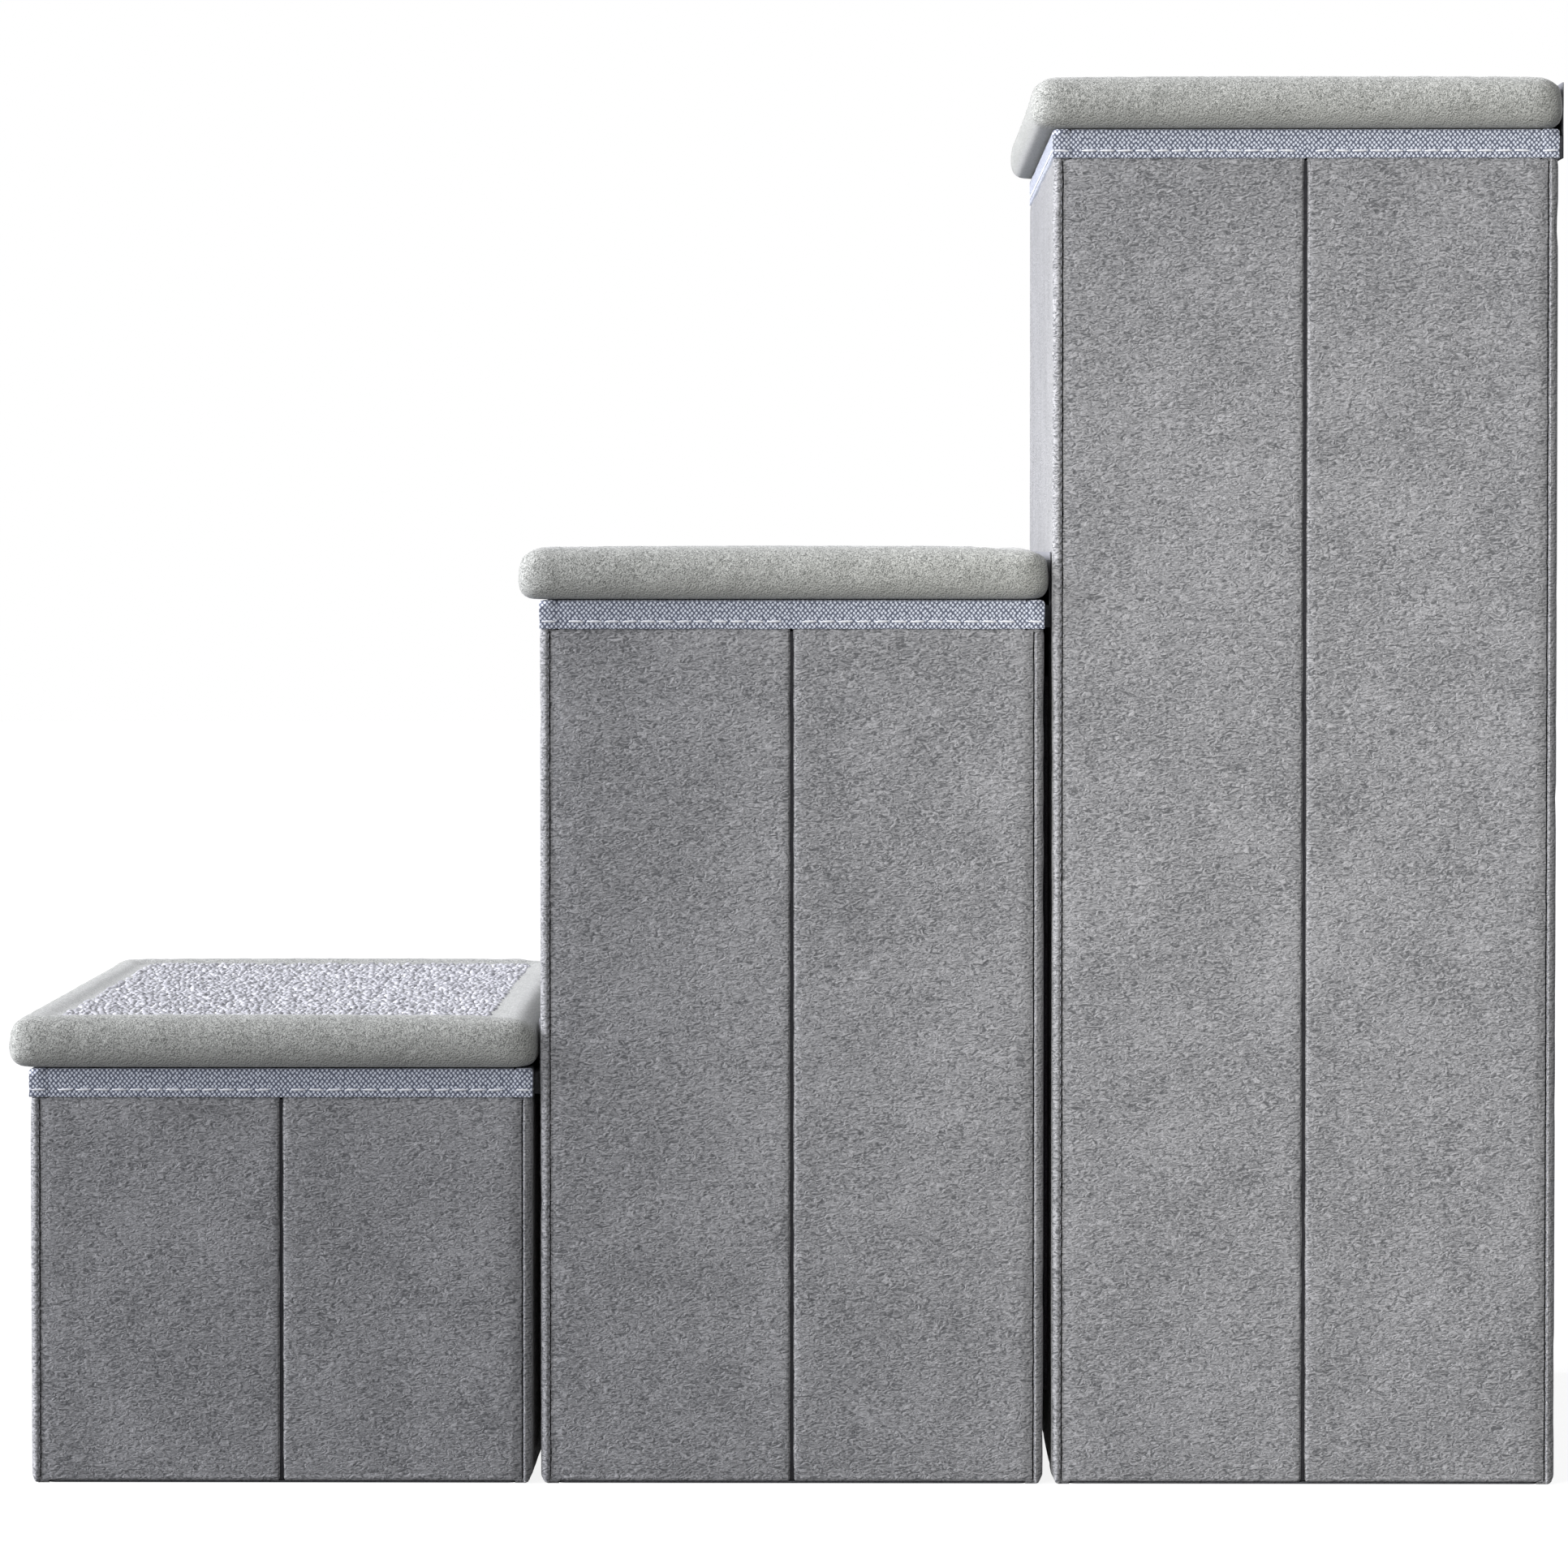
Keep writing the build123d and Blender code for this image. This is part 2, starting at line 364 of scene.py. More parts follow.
# Velvet walls: a thin board in a sewn sleeve, rounded at its edges and gently uneven. The outer cloth of a
# side wall runs on as a flap over the edge of the end wall, which is drawn in for it.
wallLook = {
    # Cuts of the mesh, closer where the cloth turns: the lists in millimetres, or in shares of the round
    "cell": 6 * mm, "margin": 5 * mm, "tapeMargin": 4 * mm, "roundCuts": (0.1, 0.35, 0.65, 1),
    "tapeCuts": (-3.2, -2, -1, -0.3, 0.2, 0.8), "hemCuts": (0.4, 1.1, 1.7, 2.2, 2.7, 3.3, 4.2),
    "flapCuts": (2.2, 3.4), "seatCuts": (3.25, 3.5, 3.75), "seamCut": 0.05 * mm,
    # Rounds of the edges: a small one inside, which keeps the board's corner under its cloth
    "frontRound": 3.0 * mm, "backRound": 4.0 * mm, "footRound": 3.8 * mm, "sideRound": 1.3 * mm,
    "innerRound": 1.3 * mm, "innerFrom": 0.6, "faceShare": 0.12, "endShare": 0.6, "seamShare": 0.5,
    # Slow waves that calm down towards the edges, and the creases there
    "uneven": 0.4 * mm, "unevenSize": 42 * mm, "unevenTall": 0.8, "unevenShift": (3.1, 7.7, 1.3),
    "unevenBias": 0.3, "calmFrom": 2 * mm, "calmOver": 14 * mm, "swell": 0.12 * mm,
    "creaseFine": 3.1, "creaseFrom": 0.2, "creaseDeep": 0.9 * mm,
    # Line of the hem, and the lean of an end wall's outer face towards its foot
    "footUp": 1.05 * mm, "hemUp": 2.4 * mm, "hemWave": 0.3 * mm, "hemWaveLong": 13 * mm,
    "hemWide": 0.6 * mm, "hemDeep": 0.18 * mm, "leanIn": 0.3 * mm, "leanTall": 160 * mm,
    # Draw of the cloth under its tape
    "underTape": 0.95 * mm, "tuckOver": 3.2 * mm, "tuckShare": 0.35, "tuckStep": 0.1 * mm,
    "headDown": 0.9 * mm,
    # Flap, and the seat for it in the end wall's edge, where rear is the right-hand end of a box
    "flapReach": 3.75 * mm, "flapEdge": 0.25 * mm, "flapHead": 0.35 * mm, "flapEase": 0.02 * mm,
    "seatFrom": 3.05 * mm, "seatOver": 0.55 * mm,
    "frontLap": {"seat": 1.05 * mm, "thick": 0.85 * mm, "fall": 0.55 * mm, "soft": 6.5 * mm},
    "rearLap": {"seat": 1.2 * mm, "thick": 1.15 * mm, "fall": 1.0 * mm, "soft": 5.5 * mm},
    # Seam between the halves of a side wall
    "seamFall": 0.4 * mm, "seamSoft": 3.5 * mm, "seamOpen": 0.25 * mm,
    "seamWave": 0.3 * mm, "seamWaveLong": 9 * mm, "seamWaveBias": 0.1,
}


def inset(co, centre, axis, depth):
    # Moves a point towards the wall's middle plane
    side = 1 if co[axis] > centre else -1
    co[axis] -= side * depth


def softenCorner(co, low, high, radius, axes):
    # Draws a point of a box's face back onto the round of the box's edge or corner
    over = {i: max(0, radius - min(co[i] - low[i], high[i] - co[i])) for i in axes}
    length = math.sqrt(sum(o * o for o in over.values()))
    if length > radius:
        for i in axes:
            side = 1 if co[i] - low[i] < high[i] - co[i] else -1
            co[i] += side * over[i] * (1 - radius / length)


def cutWall(made, low, high, along, radius, tapeLine, seam, flapEnd):
    margin = wallLook["margin"]
    curve = [share * radius for share in wallLook["roundCuts"]]
    upwards = evenCuts(low[2] + margin, tapeLine - wallLook["tapeMargin"], wallLook["cell"])
    upwards += [tapeLine + d * mm for d in wallLook["tapeCuts"]]
    upwards += [low[2] + d * mm for d in wallLook["hemCuts"]]
    cutAcross(made, 2, upwards)
    lengthwise = evenCuts(low[along] + margin, high[along] - margin, wallLook["cell"])
    lengthwise += [low[along] + d for d in curve + [margin]] + [high[along] - d for d in curve + [margin]]
    if flapEnd:
        lengthwise += [seam, seam + flapEnd * wallLook["seamCut"]]
    cutAcross(made, along, lengthwise)
    if flapEnd:
        for d in wallLook["flapCuts"]:
            cutAcross(made, along, [low[along] + d * mm, high[along] - d * mm])
    across = 1 - along
    cutAcross(made, across, [low[across] + d for d in curve] + [high[across] - d for d in curve])


def unevenDepth(name, co, inFromEnd, foot):
    # How far the cloth of a face lies in from the plane: slow waves, and creases near the edges
    fromFoot = co.z - foot
    spread = 1
    for distance in (inFromEnd, fromFoot):
        spread *= easeStep((distance - wallLook["calmFrom"]) / wallLook["calmOver"])
    spot = Vector((co.x, co.y, co.z * wallLook["unevenTall"])) / wallLook["unevenSize"]
    shift = Vector(wallLook["unevenShift"]) * (1 + len(name))
    uneven = (noise.noise(spot + shift) + wallLook["unevenBias"]) * wallLook["uneven"]
    creased = max(0, noise.noise(spot * wallLook["creaseFine"]) - wallLook["creaseFrom"])
    return max(-wallLook["swell"], uneven * spread + creased * wallLook["creaseDeep"] * (1 - spread))


def hemDepth(height, place, foot):
    line = foot + wallLook["hemUp"] + wallLook["hemWave"] * math.sin(place / wallLook["hemWaveLong"])
    return wallLook["hemDeep"] * math.exp(-(((height - line) / wallLook["hemWide"]) ** 2))


def tuckDepth(aboveTapeLine):
    # Eases in below the tape, and steps in behind the tape's edge
    over, share = wallLook["tuckOver"], wallLook["tuckShare"]
    eased = share * easeStep((aboveTapeLine + over) / over)
    return (eased + (1 - share) * (aboveTapeLine > wallLook["tuckStep"])) * wallLook["underTape"]


def velvetWall(name, low, high, radius, body, node, outerSide, flapEnd=0):
    # A side wall laps an end wall at its flapEnd, 1 or -1 along X, and an end wall has no such end
    isEnd = not flapEnd
    along, across = (1, 0) if isEnd else (0, 1)
    low, high = list(low), list(high)
    outer = high[across] if outerSide > 0 else low[across]
    inner = low[across] + high[across] - outer
    middle, centre = (low[across] + high[across]) / 2, (low[along] + high[along]) / 2
    tapeLine = high[2] - tapeHeight
    seam = high[along] if flapEnd > 0 else low[along]
    lap = wallLook["rearLap" if (outerSide if isEnd else flapEnd) > 0 else "frontLap"]
    if flapEnd > 0:
        high[along] += wallLook["flapReach"]
    if flapEnd < 0:
        low[along] -= wallLook["flapReach"]
    made = blockMesh(low, high)
    cutWall(made, low, high, along, radius, tapeLine, seam, flapEnd)
    if isEnd:
        cutAcross(made, across, [outer - outerSide * d * mm for d in wallLook["seatCuts"]])
    for v in made.verts:
        co = v.co
        inward = abs(co[across] - outer)
        fromFace = min(inward, abs(co[across] - inner))
        isFace = fromFace < radius * wallLook["faceShare"]
        inFromEnd = min(co[along] - low[along], high[along] - co[along])
        nearEnd = inFromEnd < radius * wallLook["endShare"]
        toEdge = abs(co[along] - (high[along] if flapEnd > 0 else low[along]))
        if isEnd:
            if inward < endThickness / 2:
                softenCorner(co, low, high, wallLook["footRound"], (across, 2))
            softenCorner(co, low, high, wallLook["sideRound"], (along, 2))
            isInside = inward > endThickness * wallLook["innerFrom"]
            softenCorner(co, low, high, wallLook["innerRound"] if isInside else radius, (0, 1))
        else:
            softenCorner(co, low, high, radius, (0, 1, 2))
        onOuter = (co[across] - middle) * outerSide > 0
        if isFace:
            inset(co, middle, across, unevenDepth(name, co, inFromEnd, low[2]))
            inset(co, middle, across, hemDepth(co.z, co[along], low[2]))
        if isEnd and onOuter and isFace:
            shorter = min(1, wallLook["leanTall"] / high[2])
            inset(co, middle, across, wallLook["leanIn"] * (1 - co.z / high[2]) * shorter)
        if co.z > tapeLine - wallLook["tuckOver"]:
            tuck = tuckDepth(co.z - tapeLine)
            if isFace:
                inset(co, middle, across, tuck)
            if isEnd and nearEnd:
                inset(co, centre, along, tuck)
            co.z = min(co.z, high[2] - wallLook["headDown"])
        if isEnd and nearEnd and co.z < tapeLine:
            seated = easeStep((inward - wallLook["seatFrom"]) / wallLook["seatOver"])
            inset(co, centre, along, lap["seat"] * seated)
        if flapEnd and onOuter and co.z < tapeLine:
            toMiddle = abs(co[along] - (low[along] if flapEnd > 0 else high[along]))
            co[across] -= outerSide * lap["fall"] * max(0, 1 - toEdge / lap["soft"]) ** 2
            co[across] -= outerSide * wallLook["seamFall"] * max(0, 1 - toMiddle / wallLook["seamSoft"]) ** 2
        if flapEnd and (co[along] - seam) * flapEnd > wallLook["flapEase"]:
            back = outer - outerSide * lap["thick"]
            if co.z > tapeLine - wallLook["flapHead"]:
                co[along] = seam + flapEnd * wallLook["flapEase"]
            elif not onOuter:
                co[across] = back
            elif (co[across] - back) * outerSide < wallLook["flapEdge"]:
                co[across] = back + outerSide * min(wallLook["flapEdge"], max(0, inFromEnd))
        if flapEnd and inFromEnd < radius * wallLook["seamShare"]:
            side = 1 if co[along] > centre else -1
            spot = Vector((side, len(name), co.z / wallLook["seamWaveLong"]))
            wave = wallLook["seamWave"] * (noise.noise(spot) - wallLook["seamWaveBias"])
            co[along] += side * (wave - (wallLook["seamOpen"] if side != flapEnd else 0))
    return showPiece(f"velvet_{name}", meshFrom(made, name), body, velvetFinish, [node])


# Strip that joins the two halves of a side wall, at the bottom of their seam, coloured near black as painted
# shade in the seam's gap
webLook = {
    "near": 1.25 * mm, "deep": 1.65 * mm, "half": 1.6 * mm, "foot": 1.4 * mm, "headDown": 1 * mm,
    "edge": 0.15 * mm, "cell": 8 * mm, "uneven": 0.08 * mm, "unevenSize": 9 * mm,
}


def seamWeb(name, x, outerY, inwardY, rim, body):
    near, deep = outerY + inwardY * webLook["near"], outerY + inwardY * webLook["deep"]
    foot, head = webLook["foot"], rim - tapeHeight - webLook["headDown"]
    made = blockMesh(
        (x - webLook["half"], min(near, deep), foot), (x + webLook["half"], max(near, deep), head)
    )
    roundEdges(made, [e for e in made.edges if runsAlong(e, 2)], webLook["edge"], 1)
    cutAcross(made, 2, evenCuts(foot, head, webLook["cell"]))
    for v in made.verts:
        v.co.y += webLook["uneven"] * noise.noise(v.co / webLook["unevenSize"])
    showPiece(f"seam_web_{name}", meshFrom(made, name), body, seamShadowFinish)


# Binding tape folded over a wall's top, stitched on through both sides
tapeLook = {
    "turn": 1.5 * mm, "endTurn": 2.3 * mm, "stand": 0.12 * mm, "cell": 5 * mm, "margin": 3 * mm,
    "endCut": 0.15 * mm, "footCuts": (0.25, 2.6, 5, 7.5), "faceShare": 0.42, "topShift": 10 * mm,
    "uneven": 0.12 * mm, "unevenSize": 16 * mm, "pull": 0.18 * mm, "pullAt": 0.24, "pullWide": 0.1,
    "edgeBand": 0.1 * mm, "edgeWave": 0.25 * mm, "edgeWaveLong": 12 * mm,
    "endGap": 0.1 * mm, "middleGap": 0.03 * mm, "facing": 0.7,
}


def wrapTape(made, along):
    # Length along the wall, then distance round the tape's turn
    run = made.loops.layers.uv.new("run")
    for f in made.faces:
        onEnd = abs(f.normal[along]) > tapeLook["facing"]
        onTop = f.normal.z > tapeLook["facing"]
        for corner in f.loops:
            co = corner.vert.co
            u = co[1 - along] if onEnd else co[along]
            v = co[1 - along] + tapeLook["topShift"] if onTop else co.z
            corner[run].uv = (u, v)


def bindingTape(name, low, high, along, wrapsEnds, body, node):
    across = 1 - along
    stand = Vector([tapeLook["stand"] if (i == across or wrapsEnds) else 0 for i in range(2)] + [0])
    low, high = Vector(low) - stand, Vector(high) + stand
    foot = high.z - tapeHeight
    made = blockMesh((low.x, low.y, foot), high)
    top = [e for e in made.edges if runsAlong(e, along) and e.verts[0].co.z > high.z - 1e-6]
    roundEdges(made, top, tapeLook["turn"], 4)
    if wrapsEnds:
        upright = [e for e in made.edges if runsAlong(e, 2)]
        roundEdges(made, upright, tapeLook["endTurn"], 3)
    margin, endCut = tapeLook["margin"], tapeLook["endCut"]
    cutAcross(made, along, evenCuts(low[along] + margin, high[along] - margin, tapeLook["cell"]))
    if not wrapsEnds:
        cutAcross(made, along, [low[along] + endCut, high[along] - endCut])
    cutAcross(made, 2, [foot + d * mm for d in tapeLook["footCuts"]])
    wrapTape(made, along)
    middle = (low[across] + high[across]) / 2
    for v in made.verts:
        co = v.co
        up = (co.z - foot) / tapeHeight
        if abs(co[across] - middle) > (high[across] - low[across]) * tapeLook["faceShare"]:
            spot = Vector((co[along], co.z, len(name) * mm)) / tapeLook["unevenSize"]
            inset(co, middle, across, tapeLook["uneven"] * noise.noise(spot))
            pulled = math.exp(-(((up - tapeLook["pullAt"]) / tapeLook["pullWide"]) ** 2))
            inset(co, middle, across, tapeLook["pull"] * pulled)
        if co.z < foot + tapeLook["edgeBand"]:
            spot = Vector((co[along] / tapeLook["edgeWaveLong"], len(name), 0))
            co.z += tapeLook["edgeWave"] * noise.noise(spot)
    return showPiece(f"tape_{name}", meshFrom(made, name), body, tapeFinish, [node])


# Stitches, each a flattened bead: small ones in the corner seams, and long white ones along the tapes
seamLook = {
    "long": 2.3 * mm, "pitch": 3.3 * mm, "wide": 0.5 * mm, "high": 0.5 * mm, "tilt": 5.0,
    "in": 3.42 * mm, "frontDown": 0.22 * mm, "rearDown": 0.6 * mm, "foot": 4 * mm, "headDown": 1 * mm,
}
stitchLook = {
    "long": 6.1 * mm, "pitch": 6.9 * mm, "wide": 0.95 * mm, "high": 0.8 * mm, "tilt": 3.0,
    "up": 2.8 * mm, "sink": 0.1 * mm, "endIn": 1.5 * mm, "spare": 0.01 * mm,
}
bead = bmesh.new()
beadTurn = Matrix.Rotation(math.radians(90), 4, "Y")
bmesh.ops.create_uvsphere(bead, u_segments=6, v_segments=5, radius=1, matrix=beadTurn)
bead = meshFrom(bead, "bead")


def stitchRow(start, end, outward, look):
    # Lockstitches from start to end, each of which dips into the cloth at its ends
    line = Vector(end) - Vector(start)
    count = max(1, int(line.length / look["pitch"]))
    spare = (line.length - count * look["pitch"]) / 2
    line.normalize()
    outward = Vector(outward)
    up = outward.cross(line)
    moves = []
    for i in range(count):
        centre = Vector(start) + line * (spare + (i + 0.5) * look["pitch"])
        tilt = Matrix.Rotation(math.radians(random.uniform(-1, 1) * look["tilt"]), 3, outward)
        axes = Matrix((tilt @ line, tilt @ up, outward)).transposed().to_4x4()
        size = Matrix.Diagonal((look["long"] / 2, look["wide"] / 2, look["high"] / 2, 1))
        moves.append(Matrix.Translation(centre) @ axes @ size)
    return moves


def pointAt(along, alongPlace, acrossPlace, height):
    point = Vector((0, 0, height))
    point[along], point[1 - along] = alongPlace, acrossPlace
    return point


def tapeStitches(name, low, high, along, wrapsEnds, body):
    across = 1 - along
    moves = []
    height = high[2] - tapeHeight + stitchLook["up"]
    stand = tapeLook["stand"] - stitchLook["sink"]
    for side in (-1, 1):
        level = (high[across] + stand) if side > 0 else (low[across] - stand)
        start = pointAt(along, low[along] + stitchLook["endIn"], level, height)
        end = pointAt(along, high[along] - stitchLook["endIn"], level, height)
        moves += stitchRow(start, end, pointAt(along, 0, side, 0), stitchLook)
    if wrapsEnds:
        for side in (-1, 1):
            level = (high[along] + stand) if side > 0 else (low[along] - stand)
            centre = pointAt(along, level, (low[across] + high[across]) / 2, height)
            reach = pointAt(along, 0, stitchLook["pitch"] / 2 + stitchLook["spare"], 0)
            moves += stitchRow(centre - reach, centre + reach, pointAt(along, side, 0, 0), stitchLook)
    return showPiece(f"stitches_{name}", copiesMesh(name, bead, moves), body, threadFinish)


def cornerStitches(name, low, high, outerX, outwardX, body):
    # The seam that joins an end wall's cover to the side walls' covers
    level = outerX - outwardX * seamLook["in"]
    down = seamLook["rearDown"] if outwardX > 0 else seamLook["frontDown"]
    head = high[2] - tapeHeight - seamLook["headDown"]
    moves = []
    for side, face in ((-1, low[1]), (1, high[1])):
        place = face - side * down
        moves += stitchRow((level, place, seamLook["foot"]), (level, place, head), (0, side, 0), seamLook)
    showPiece(f"seam_{name}", copiesMesh(name, bead, moves), body, greyThreadFinish)


def endWall(k, end, outward):
    box = boxes[k]
    face = box[end]
    low = (min(face, face - outward * endThickness), box["near"], 0)
    high = (max(face, face - outward * endThickness), box["far"], box["rim"])
    body = endBodies[k, end]
    name = f"{end}_{k}"
    velvetWall(name, low, high, wallLook[f"{end}Round"], body, endNode("cover", k, end), outward)
    bindingTape(name, low, high, 1, True, body, endNode("binding", k, end))
    tapeStitches(name, low, high, 1, True, body)
    cornerStitches(name, low, high, face, outward, body)


def sideHalf(k, side, half):
    box = boxes[k]
    isFront = half == "front"
    inwardY = 1 if side == "near" else -1
    outerY = box[side]
    innerY = outerY + sideThickness * inwardY
    startX = box["front"] + endThickness + seamGap if isFront else box["middleHigh"]
    endX = box["middleLow"] if isFront else box["back"] - endThickness - seamGap
    low = (startX, min(outerY, innerY), wallLook["footUp"])
    high = (endX, max(outerY, innerY), box["rim"])
    body = f"{side}_{half}_{k}"
    velvetWall(
        body, low, high, wallLook["sideRound"], body, f"{side}_{half}_cover_{k}", -inwardY,
        -1 if isFront else 1,
    )
    # The tapes run on until they all but meet, at the wall's end and over its middle seam
    toEnd = seamGap - tapeLook["endGap"]
    toMiddle = (box["middleHigh"] - box["middleLow"]) / 2 - tapeLook["middleGap"]
    before, after = (toEnd, toMiddle) if isFront else (toMiddle, toEnd)
    if isFront:
        seamWeb(f"{side}_{k}", (box["middleLow"] + box["middleHigh"]) / 2, outerY, inwardY, box["rim"], body)
    bindingTape(
        body, (low[0] - before, *low[1:]), (high[0] + after, *high[1:]), 0, False, body,
        f"{side}_{half}_binding_{k}",
    )
    tapeStitches(body, low, high, 0, False, body)


random.seed(4)
for k in steps:
    endWall(k, "front", -1)
    endWall(k, "back", 1)
    for side in ("near", "far"):
        for half in ("front", "rear"):
            sideHalf(k, side, half)
print("walls made")


# Lids: a plush pad that puffs between its corners, with a soft roll round its top and a fine ruffle
padLook = {
    "voxel": 4 * mm, "shrink": 0.1 * mm, "topDown": 1.2 * mm, "corner": 8.5 * mm, "topRound": 6.5 * mm,
    "footBevel": 1.6 * mm, "pressure": 3.5, "frames": 14, "stiffness": 25, "cap": 0.9 * mm,
    "heldFoot": 2.5 * mm, "heldTop": 3 * mm, "heldOver": 2 * mm,
    "border": 18 * mm, "roll": 1.3 * mm, "rearRoll": 1.9 * mm, "rollPower": 1.5,
    "hingeFrom": 26 * mm, "hingeOver": 12 * mm, "hingeDrop": 0.55,
    "ruffleFrom": 1.5 * mm, "ruffles": ((5.5 * mm, 0.2 * mm), (2.1 * mm, 0.12 * mm)),
}


def padBlank(low, high):
    made = blockMesh(low, high)
    roundEdges(made, [e for e in made.edges if runsAlong(e, 2)], padLook["corner"], 5)
    top = [e for e in made.edges if all(v.co.z > high.z - 1e-6 for v in e.verts)]
    roundEdges(made, top, padLook["topRound"], 4)
    foot = [e for e in made.edges if all(v.co.z < low.z + 1e-6 for v in e.verts)]
    roundEdges(made, foot, padLook["footBevel"], 2)
    return made


def bakeModifiers(piece):
    graph = bpy.context.evaluated_depsgraph_get()
    baked = bpy.data.meshes.new_from_object(piece.evaluated_get(graph))
    piece.modifiers.clear()
    piece.data = baked


def inFromSides(co, low, high):
    return min(co.x - low.x, high.x - co.x, co.y - low.y, high.y - co.y)


def puffPad(piece, low, high):
    # The cover swells like cloth over foam, held where the board and the carpet keep it flat
    start = [v.co.copy() for v in piece.data.vertices]
    group = piece.vertex_groups.new(name="held")
    for v in piece.data.vertices:
        atFoot = v.co.z < low.z + padLook["heldFoot"]
        inBorder = inFromSides(v.co, low, high) - padLook["border"]
        underCarpet = v.co.z > high.z - padLook["heldTop"] and inBorder > -padLook["heldOver"]
        group.add([v.index], 1.0 if atFoot or underCarpet else 0.0, "REPLACE")
    cloth = piece.modifiers.new("puff", "CLOTH")
    cloth.settings.vertex_group_mass = "held"
    cloth.settings.use_pressure = True
    cloth.settings.uniform_pressure_force = padLook["pressure"]
    cloth.settings.effector_weights.gravity = 0
    cloth.settings.quality = 5
    cloth.settings.tension_stiffness = cloth.settings.compression_stiffness = padLook["stiffness"]
    cloth.collision_settings.use_collision = False
    for f in range(1, padLook["frames"] + 1):
        scene.frame_set(f)
    bakeModifiers(piece)
    scene.frame_set(1)
    for v, home in zip(piece.data.vertices, start):
        move = v.co - home
        if move.length > padLook["cap"]:
            v.co = home + move * (padLook["cap"] / move.length)


def rollPad(piece, low, high, meetsWall):
    # A soft roll round the carpet, higher at the far side, and the fine ruffle of the pile
    border = padLook["border"]
    outward = [v.normal.copy() for v in piece.data.vertices]
    for v, normal in zip(piece.data.vertices, outward):
        co = v.co
        ruffle = sum(noise.noise(co / size) * depth for size, depth in padLook["ruffles"])
        inward = inFromSides(co, low, high)
        rear = easeStep((co.y - high.y + 2 * border) / border)
        atHinge = easeStep((co.x - high.x + padLook["hingeFrom"]) / padLook["hingeOver"])
        roll = padLook["roll"] * (1 - rear) + padLook["rearRoll"] * rear
        if meetsWall:
            roll *= 1 - padLook["hingeDrop"] * atHinge
        if co.z > low.z + padLook["ruffleFrom"]:
            v.co += normal * ruffle
            share = easeStep((co.z - low.z) / (high.z - low.z))
            arch = math.sin(math.pi * min(1, max(0, inward / border))) ** padLook["rollPower"]
            v.co.z += roll * share * arch


for k in steps:
    lidLow, lidHigh = boxes[k]["lidLow"].copy(), boxes[k]["lidHigh"].copy()
    shrink = Vector((padLook["shrink"], padLook["shrink"], 0))
    blank = padBlank(lidLow + shrink, lidHigh - shrink - Vector((0, 0, padLook["topDown"])))
    pad = showPiece(
        f"plush_lid_{k}", meshFrom(blank, f"pad_{k}"), f"lid_{k}", plushFinish, [f"lid_pad_{k}"]
    )
    remesh = pad.modifiers.new("even", "REMESH")
    remesh.mode = "VOXEL"
    remesh.voxel_size = padLook["voxel"]
    bakeModifiers(pad)
    puffPad(pad, lidLow, lidHigh)
    finer = pad.modifiers.new("smoother", "SUBSURF")
    finer.levels = finer.render_levels = 1
    bakeModifiers(pad)
    rollPad(pad, lidLow, lidHigh, k < 3)  # the first two come up against the next box's wall when open
    pad.data.polygons.foreach_set("use_smooth", [True] * len(pad.data.polygons))
print("lids made")


# Carpet: rows of uneven loops standing on a dark backing, its grey partly the backing's own and partly
# painted shade for the gaps between the loops
carpetLook = {
    "pitch": 3.85 * mm, "jitter": 0.75 * mm, "loopHigh": 3.6 * mm, "loopWide": 4.1 * mm, "edgeIn": 1.7 * mm,
    "wideShare": (0.75, 1.1), "narrowShare": (0.65, 0.9), "tallShare": (0.8, 1.0), "topDown": 0.8,
    "tip": 0.4, "corner": 7 * mm, "backingDown": 0.5 * mm, "backingUnder": 2.2 * mm, "seed": 11,
}


def insideRounded(x, y, halfX, halfY, corner):
    overX, overY = abs(x) - (halfX - corner), abs(y) - (halfY - corner)
    if overX > 0 and overY > 0:
        return math.hypot(overX, overY) <= corner
    return overX <= corner and overY <= corner


def loopMove(x, y, level):
    # One loop's size, lean and turn, with its top at the level or a little below
    wide = carpetLook["loopWide"] / 2 * random.uniform(*carpetLook["wideShare"])
    tall = carpetLook["loopHigh"] / 2 * random.uniform(*carpetLook["tallShare"])
    top = level - random.uniform(0, carpetLook["topDown"]) * mm
    tipX, tipY = (random.uniform(-carpetLook["tip"], carpetLook["tip"]) for axis in "XY")
    loopTiltAndShadeShift = Matrix.Rotation(tipX, 4, "X") @ Matrix.Rotation(tipY, 4, "Y")
    spin = Matrix.Rotation(random.uniform(0, math.pi), 4, "Z")
    size = Matrix.Diagonal((wide, wide * random.uniform(*carpetLook["narrowShare"]), tall, 1))
    return Matrix.Translation((x, y, top - tall)) @ loopTiltAndShadeShift @ spin @ size


